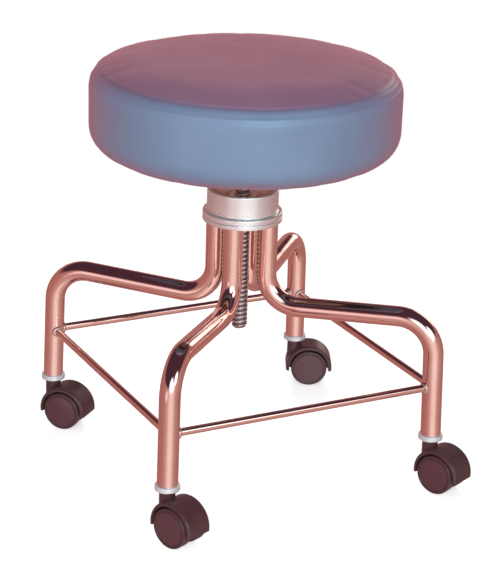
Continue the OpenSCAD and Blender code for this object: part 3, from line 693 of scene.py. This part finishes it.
def blown_up(line, places, seam_at, around=84, frames=20):
    """How far each point of a coarse cover stands out after 20 frames as cloth with air pressure
    inside. The cover starts 1.5 mm inside the real outline, its hem is held, and its seam is
    drawn in, which gathers the vinyl beside it."""
    rng = np.random.default_rng(7)
    out = normals_of(line)
    small = line - 0.0015 * out * np.clip((0.200 + seam_at - places) / 0.04, 0, 1)[:, None]
    grid = turned(small, around)[:, :-1]
    uneven = 0.0008 * rng.standard_normal((1, around, 1))
    grid[..., :2] *= 1 + uneven * hump(places, seam_at, 0.03)[:, None, None]
    rows = len(line)
    points = np.concatenate([grid[1:].reshape(-1, 3), grid[0, :1], [[0.0, 0.0, 0.409]]])
    top, bottom = len(points) - 2, len(points) - 1
    index = np.arange((rows - 1) * around).reshape(-1, around)
    after = np.roll(index, -1, axis=1)
    faces = np.stack([index[:-1], index[1:], after[1:], after[:-1]], -1).reshape(-1, 4).tolist()
    faces += np.stack([index[0], after[0], np.full(around, top)], -1).tolist()
    faces += np.stack([after[-1], index[-1], np.full(around, bottom)], -1).tolist()
    mesh = bpy.data.meshes.new("cover_trial")
    mesh.from_pydata(points, [], faces)
    trial = placed("cover_trial", mesh)
    row = np.argmin(np.abs(places - seam_at)) - 1
    for group, members in (("held", index[-3:].ravel().tolist() + [bottom]),
                           ("drawn", index[row].tolist())):
        trial.vertex_groups.new(name=group).add(members, 1.0, "REPLACE")
    cloth = trial.modifiers.new("cloth", "CLOTH")
    for setting, value in {
            "quality": 6, "mass": 0.4, "tension_stiffness": 30, "compression_stiffness": 30,
            "bending_stiffness": 3.0, "use_pressure": True, "uniform_pressure_force": 4.0,
            "vertex_group_mass": "held", "vertex_group_shrink": "drawn", "shrink_min": 0.0,
            "shrink_max": 0.006}.items():
        setattr(cloth.settings, setting, value)
    cloth.settings.effector_weights.gravity = 0.0
    cloth.point_cache.frame_start, cloth.point_cache.frame_end = 1, frames
    scene = bpy.context.scene
    for number in range(1, frames + 1):
        scene.frame_set(number)
    graph = bpy.context.evaluated_depsgraph_get()
    settled = np.zeros(points.size)
    trial.evaluated_get(graph).data.vertices.foreach_get("co", settled)
    moved = (settled.reshape(-1, 3) - points)[:-2].reshape(rows - 1, around, 3)
    angle = full_turn(around)[:-1]
    facing = about_axis(out[1:, :1], angle, out[1:, 1:])
    stood = (moved * facing).sum(-1)
    scene.frame_set(1)
    bpy.data.objects.remove(trial)
    return np.concatenate([np.full((1, around), stood[0].mean()), stood])


def blend_weights(fine, coarse, period=None):
    """Weights that carry values at evenly spaced places to finer ones: half of one plus the
    cosine of the distance in spacings, so that each fine place's weights add up to one."""
    apart = np.abs(fine[:, None] - coarse[None, :])
    if period:
        apart = np.minimum(apart, period - apart)
    spacing = coarse[1] - coarse[0]
    return 0.5 * (1 + np.cos(np.pi * np.clip(apart / spacing, 0, 1)))


around_fine = 360
even_share, uneven_share, puff_cap = 0.25, 0.22, 0.002
outline, places, seam_at = cover_outline(0.0017)
around = full_turn(around_fine)
coarse, coarse_places, coarse_seam = cover_outline(0.009)
puff = blown_up(coarse, coarse_places, coarse_seam)
even = puff.mean(axis=1, keepdims=True)
puff = np.clip(even_share * even + uneven_share * (puff - even), -puff_cap, puff_cap)
coarse_around = full_turn(puff.shape[1])[:-1]
puff = (blend_weights(places, coarse_places) @ puff
        @ blend_weights(around, coarse_around, 2 * np.pi).T)

# The seam is a groove between two soft shoulders. The ridge of top stitching, 14 mm below it,
# stands between two creases. Puckers run across the seam, and pleats across the hem.
below = places - seam_at
seam_form = (-0.0011 * hump(below, 0.0, 0.0013) + 0.0005 * hump(np.abs(below), 0.0045, 0.003)
             + 0.0006 * hump(below, 0.0140, 0.0013) - 0.0005 * hump(below, 0.0165, 0.0012)
             - 0.0003 * hump(below, 0.0115, 0.0012))
gather = 0.5 + 0.5 * np.sin(around * 3 + 0.6) * np.sin(around * 7 + 2.0)
pucker = (np.sin(around * 97) + 0.6 * np.sin(around * 61 + 1.0)) * gather
pucker_form = 0.00022 * (hump(below, 0.006, 0.005) + 0.6 * hump(below, -0.005, 0.005))
hem_share = np.clip((below - 0.118) / 0.02, 0, 1)
pleat = np.abs(np.sin(around * 34)) ** 3
rise = (puff + seam_form[:, None] + pucker_form[:, None] * pucker
        - 0.0008 * hem_share[:, None] * (pleat - 0.4))
low_edge, stapled_z = 0.427, 0.4066
free = np.where(outline[:, 1] < low_edge, np.clip((outline[:, 0] - hem_r) / 0.02, 0, 1), 1.0)
rise = rise * free[:, None]
outward = normals_of(outline)
cover_r = outline[:, :1] + rise * outward[:, :1]
cover_z = np.maximum(outline[:, 1:] + rise * outward[:, 1:], stapled_z)
cover_grid = about_axis(cover_r, around, cover_z)
cover_grid[0, :, :2] = 0.0
cover_grid[:, -1] = cover_grid[:, 0]


def vinyl(name, colours, sheen, seam_shade):
    """Vinyl with a fine leather grain: small cells for the pebbles, noise for their size, a broad
    change of shade where the cover has been handled, and a painted shade along the seam.
    The colours are dark, middle and light. The sheen is its weight, roughness and tint. The
    seam shade is the painted shade's colour with stops in millimetres below the seam, from -10
    to 30, that say how much it counts."""
    weight, roughness, sheen_tint = sheen
    made = finish_of(name, colours[1], 0.38, 0.0, {
        "Coat Weight": 0.25, "Coat Roughness": 0.26, "Sheen Weight": weight,
        "Sheen Roughness": roughness, "Sheen Tint": (*sheen_tint, 1.0), "IOR": 1.52})
    even = ramp(made, noise(made, 9.0, 4.0), list(zip((0.30, 0.50, 0.72), colours)))
    from_seam = add(made, "Attribute", attribute_name="from_seam")
    along = add(made, "MapRange",
                {"Value": (from_seam, "Fac"), "From Min": -0.010, "From Max": 0.030})
    # Painted shade along the seam: a darker colour mixed in by the distance from the seam.
    seam_shade_tint, stops = seam_shade
    share = ramp(made, (along, "Result"), [((mm + 10) / 40, amount) for mm, amount in stops])
    mixed = add(made, "MixRGB", {"Fac": (share, "Color"), "Color1": (even, "Color"),
                                 "Color2": (*seam_shade_tint, 1.0)})
    feed(made, shader_of(made), {"Base Color": (mixed, "Color")})
    uneven(made, "Roughness", 25.0, 0.34, 0.46, 4.0)
    cells = add(made, "TexVoronoi", {"Vector": (add(made, "TexCoord"), "Object"), "Scale": 780.0},
                feature="DISTANCE_TO_EDGE")
    grain = ramp(made, (cells, "Distance"), [(0.0, 0.0), (0.22, 1.0)])
    pebbles = relief(made, (grain, "Color"), 0.00007, 0.6)
    relief(made, noise(made, 160.0), 0.00016, 0.5, pebbles)
    return made


# The last entry of each is its painted shade by the seam: on the top a darker blue-mauve over the
# last 7 mm, partly a soft blend towards the band's colour; on the band a darker blue strip down to
# 15 mm below the seam.
mauve = vinyl("vinyl_mauve", [(0.204, 0.116, 0.189), (0.224, 0.130, 0.205), (0.250, 0.143, 0.220)],
              (0.6, 0.40, (0.34, 0.10, 0.11)),
              ((0.135, 0.105, 0.185), [(-7, 0.0), (-2, 0.45), (0, 0.8)]))
blue = vinyl("vinyl_blue_grey",
             [(0.111, 0.181, 0.283), (0.121, 0.197, 0.303), (0.137, 0.215, 0.325)],
             (1.0, 0.58, (0.26, 0.04, 0.06)),
             ((0.103, 0.136, 0.228), [(0, 0.9), (4, 0.8), (12, 0.3), (15, 0.0)]))

# Each panel is closed on its inner side: the top over the foam, the band round foam and board.
seam_row = np.argmin(np.abs(below))
foam_low, board_r, board_top = 0.4206, 0.1503, 0.4204
seam_inside, foam_corner = [seam_r - 0.004, seam_z - 0.008], [seam_r - 0.030, foam_low]
top_close = turned([seam_inside, foam_corner, [0.0, foam_low]], around_fine)
band_close = turned([[hem_r, 0.4081], [board_r, 0.4084], [board_r, board_top], foam_corner,
                     seam_inside], around_fine)
from_seam = below[:, None] * np.ones(around_fine + 1)
top_panel = skin("seat_top_panel", [np.concatenate([cover_grid[:seam_row + 1], top_close])],
                 mauve, 60.0, {"from_seam": [from_seam[:seam_row + 1], from_seam[:3]]})
belongs(top_panel, "seat", "vinyl_top", "cover_top")
band = skin("seat_band_and_hem", [np.concatenate([cover_grid[seam_row:], band_close,
                                                  cover_grid[seam_row:seam_row + 1]])], blue, 60.0,
            {"from_seam": [from_seam[seam_row:], from_seam[-5:],
                           from_seam[seam_row:seam_row + 1]]})
belongs(band, "seat", "vinyl_side", "cover_band", "seat_foam")


# Dust cloth
# A ring of thin black cloth, plain woven, stretched under the board and stapled there, over the
# hem's raw edge and round the plate.

black = finish_of("dust_cloth", (0.030, 0.028, 0.028), 0.92, 0.0, {"Sheen Weight": 0.25})
on_cloth = add(black, "TexCoord")
warp, weft = [add(black, "TexWave", {"Vector": (on_cloth, "Object"), "Scale": 320.0},
                  wave_type="BANDS", bands_direction=direction) for direction in "XY"]
weave = add(black, "MixRGB", {"Fac": 0.5, "Color1": (warp, "Color"), "Color2": (weft, "Color")})
shades(black, "Base Color", (weave, "Color"),
       [(0.2, (0.018, 0.017, 0.017)), (0.8, (0.048, 0.045, 0.044))])
relief(black, (weave, "Color"), 0.00012)

cloth_in, cloth_out, cloth_z, cloth_thick = 0.0803, 0.1297, 0.4076, 0.0004
angle = full_turn(240)
reach = np.linspace(cloth_in, cloth_out, 16)
bow = np.sin(np.pi * (reach - cloth_in) / (cloth_out - cloth_in))[:, None]
hang = cloth_z - 0.0005 * bow - 0.00015 * np.sin(angle * 9) * bow
cloth_low = about_axis(reach[:, None], angle, hang)
cloth_high = cloth_low + np.array([0.0, 0.0, cloth_thick])
dust = skin("dust_cloth_ring", [np.concatenate([cloth_low, cloth_high[::-1], cloth_low[:1]])],
            black)
belongs(dust, "seat", "dust_cloth", "under_cloth")


# Staples
# Two rows of zinc-plated staples: one through the pleated hem of the vinyl, one round the dust
# cloth.

wire_wide, wire_thick = 0.0009, 0.00056
# Of each row: how many, how far out, the first one's turn in degrees, and the height.
staple_rings = ((36, 0.1380, 4.0, 0.40625), (32, 0.1250, 0.0, 0.4071))


def staple_rows(radius, turn, height):
    """A staple as six-sided rings along a path that comes down out of the board, runs 10 mm
    across the cloth and goes up again. Its ends are pinched shut."""
    path = np.array([[-5.0, 2.0], [-5.0, 2.0], [-5.0, 0.4], [-4.6, 0.0], [4.6, 0.0], [5.0, 0.4],
                     [5.0, 2.0], [5.0, 2.0]]) * 0.001
    lean = np.radians([180, 180, 180, 135, 45, 0, 0, 0])[:, None]
    size = np.array([0.0, 1, 1, 1, 1, 1, 1, 0.0])[:, None]
    angle = full_turn(6)
    across, up = wire_wide / 2 * size * np.cos(angle), wire_thick / 2 * size * np.sin(angle)
    along = path[:, :1] + up * np.cos(lean)
    high = height + path[:, 1:] - up * np.sin(lean)
    return turned_to(np.stack([radius + across, along, high], -1), turn)


staples = [staple_rows(out, first + 360.0 / count * k, height)
           for count, out, first, height in staple_rings for k in range(count)]
belongs(skin("hem_staples", staples, zinc, 50.0), "seat", "satin_metal")


# Studio
# A pale sweep for a floor, soft lights in front and behind, and an even white sky. Metal sees a
# painted room in place of the sky. The camera stands 2.5 m away, 20 degrees above the floor,
# with a long lens.

def blended(owner, fac, first, second):
    """A shader that is the first node where fac, a (node, output), is 0 and the second where 1."""
    return add(owner, "MixShader", {"Fac": fac, 1: (first, 0), 2: (second, 0)})


white, floor_grey = (1.0, 1.0, 1.0, 1.0), (0.93, 0.93, 0.93, 1.0)
floor_bounce = (0.45, 0.42, 0.42, 1.0)
floor_half, floor_lift, white_from, white_beyond = 9, 0.40, 0.45, 1.1
floor_mesh = bpy.data.meshes.new("studio_floor")
floor_mesh.from_pydata([(-floor_half, -floor_half, 0), (floor_half, -floor_half, 0),
                        (floor_half, floor_half, 0), (-floor_half, floor_half, 0)], [],
                       [(0, 1, 2, 3)])
floor = placed("studio_floor", floor_mesh)

# The floor shows the object's shadow and fades to white beyond it. It throws less than half of
# the light back, and reflections pass through it to the painted room.
paper = finish_of("studio_paper", floor_grey[:3], 1.0, 0.0, {"Specular IOR Level": 0.0})
floor_mesh.materials.append(paper)
floor_rays = add(paper, "LightPath")
bounce = add(paper, "MixRGB", {"Fac": (floor_rays, "Is Diffuse Ray"), "Color1": floor_grey,
                               "Color2": floor_bounce})
feed(paper, shader_of(paper), {"Base Color": (bounce, "Color")})
apart = add(paper, "VectorMath", {0: (add(paper, "TexCoord"), "Object")}, operation="LENGTH")
far_off = add(paper, "MapRange",
              {"Value": (apart, "Value"), "From Min": white_from, "From Max": white_beyond})
lift = add(paper, "Emission", {"Color": white, "Strength": floor_lift})
lifted = add(paper, "AddShader", {0: (shader_of(paper), 0), 1: (lift, 0)})
white_paper = add(paper, "Emission", {"Color": white})
seen_paper = blended(paper, (far_off, "Result"), lifted, white_paper)
for_camera = blended(paper, (floor_rays, "Is Camera Ray"), shader_of(paper), seen_paper)
clear = add(paper, "BsdfTransparent")
for_metal = blended(paper, (floor_rays, "Is Glossy Ray"), for_camera, clear)
feed(paper, paper.node_tree.nodes["Material Output"], {"Surface": (for_metal, 0)})

# The painted room, by bearing: 0 and 1 are behind the object and 0.5 is the camera's side. Above
# the walls it is dark.
camera_turn = math.radians(17.50)
walls_top, dark_from, dark_above = 0.28, 0.42, (0.068, 0.032, 0.052, 1.0)
sky = bpy.data.worlds.new("studio_sky")
bpy.context.scene.world = sky
sky.use_nodes = True
sky.node_tree.nodes.clear()
facing = add(sky, "Mapping", {"Vector": (add(sky, "TexCoord"), "Generated"),
                              "Rotation": (0.0, 0.0, camera_turn), "Scale": (1.0, -1.0, 1.0)},
             vector_type="TEXTURE")
parts = add(sky, "SeparateXYZ", {"Vector": (facing, "Vector")})
bearing = add(sky, "Math", {0: (parts, "X"), 1: (parts, "Y")}, operation="ARCTAN2")
round_share = add(sky, "MapRange",
                  {"Value": (bearing, "Value"), "From Min": -math.pi, "From Max": math.pi})
walls = ramp(sky, (round_share, "Result"), [
    (0.0, (0.47, 0.22, 0.20)), (0.18, (0.44, 0.20, 0.18)), (0.32, (0.49, 0.25, 0.23)),
    (0.40, (0.60, 0.37, 0.35)), (0.45, (0.76, 0.54, 0.51)), (0.49, (1.00, 0.83, 0.80)),
    (0.53, (1.06, 0.92, 0.88)), (0.60, (0.98, 0.82, 0.77)), (0.65, (0.62, 0.43, 0.39)),
    (0.72, (0.52, 0.31, 0.29)), (0.82, (0.42, 0.21, 0.19)), (1.0, (0.47, 0.22, 0.20))])
steepness = add(sky, "VectorMath", {0: (facing, "Vector"), 1: (0.0, 0.1, 1.0)},
                operation="DOT_PRODUCT")
over_walls = add(sky, "MapRange",
                 {"Value": (steepness, "Value"), "From Min": walls_top, "From Max": dark_from})
room = add(sky, "MixRGB", {"Fac": (over_walls, "Result"), "Color1": (walls, "Color"),
                           "Color2": dark_above})
# Round lamps in the room: bearing from the camera's side and height, both in degrees, then the
# cosines at which each is full and gone, and its colour.
for azimuth, elevation, inner, outer, colour in (
        (4.0, 21.0, 0.978, 0.935, (1.90, 2.15, 2.35)),
        (-35.0, -4.0, 0.990, 0.965, (1.10, 0.93, 0.94)),
        (150.0, 15.0, 0.985, 0.972, (1.90, 1.80, 1.65)),
        (24.0, 13.0, 0.991, 0.976, (2.00, 2.40, 2.60)),
        (47.0, 25.0, 0.986, 0.965, (2.2, 2.4, 2.5)),
        (18.0, 16.0, 0.9985, 0.9965, (14.0, 15.0, 16.0))):
    a, e = math.radians(azimuth), math.radians(elevation)
    toward = (math.sin(a) * math.cos(e), math.cos(a) * math.cos(e), math.sin(e))
    dot = add(sky, "VectorMath", {0: (facing, "Vector"), 1: toward}, operation="DOT_PRODUCT")
    lit = add(sky, "MapRange", {"Value": (dot, "Value"), "From Min": outer, "From Max": inner})
    room = add(sky, "MixRGB", {"Fac": (lit, "Result"), "Color1": (room, "Color"),
                               "Color2": (*colour, 1.0)})
sky_rays = add(sky, "LightPath")
painted = add(sky, "Background", {"Color": (room, "Color")})
even_light = add(sky, "Background", {"Color": white, "Strength": 0.36})
backdrop = add(sky, "Background", {"Color": white})
reflected = blended(sky, (sky_rays, "Is Glossy Ray"), even_light, painted)
straight = blended(sky, (sky_rays, "Is Camera Ray"), reflected, backdrop)
through = blended(sky, (sky_rays, "Is Transmission Ray"), straight, backdrop)
add(sky, "OutputWorld", {"Surface": (through, 0)})


def soft_light(name, spot, watts, aim=(0.0, 0.0, 0.35), width=1.4, height=1.0):
    """A rectangular soft box at a spot, turned to face the aim and left out of reflections."""
    data = bpy.data.lights.new(name, "AREA")
    data.shape, data.size, data.size_y, data.energy = "RECTANGLE", width, height, watts
    lamp = placed(name, data)
    lamp.location = spot
    lamp.rotation_euler = (Vector(aim) - Vector(spot)).to_track_quat("-Z", "Y").to_euler()
    lamp.visible_glossy = False


soft_light("key_box", (0.80, -2.5, 1.25), 80.0)
soft_light("fill_box", (-0.80, 2.5, 1.25), 42.0)

camera_aim, camera_away = Vector((0.0118, 0.0040, 0.2263)), 2.5207
camera_tilt, camera_roll = math.radians(20.53), math.radians(1.853)
back = Vector((math.sin(camera_turn) * math.cos(camera_tilt),
               -math.cos(camera_turn) * math.cos(camera_tilt), math.sin(camera_tilt)))
right = Vector((math.cos(camera_turn), math.sin(camera_turn), 0.0))
up = back.cross(right)
camera_x = math.cos(camera_roll) * right + math.sin(camera_roll) * up
camera_y = -math.sin(camera_roll) * right + math.cos(camera_roll) * up
lens = bpy.data.cameras.new("camera")
lens.sensor_width, lens.lens = 36.0, 124.78
camera = placed("camera", lens)
turned_camera = Matrix((camera_x, camera_y, back)).transposed().to_4x4()
camera.matrix_world = Matrix.Translation(camera_aim + camera_away * back) @ turned_camera
bpy.context.scene.camera = camera
bpy.context.scene.view_settings.view_transform = "Standard"
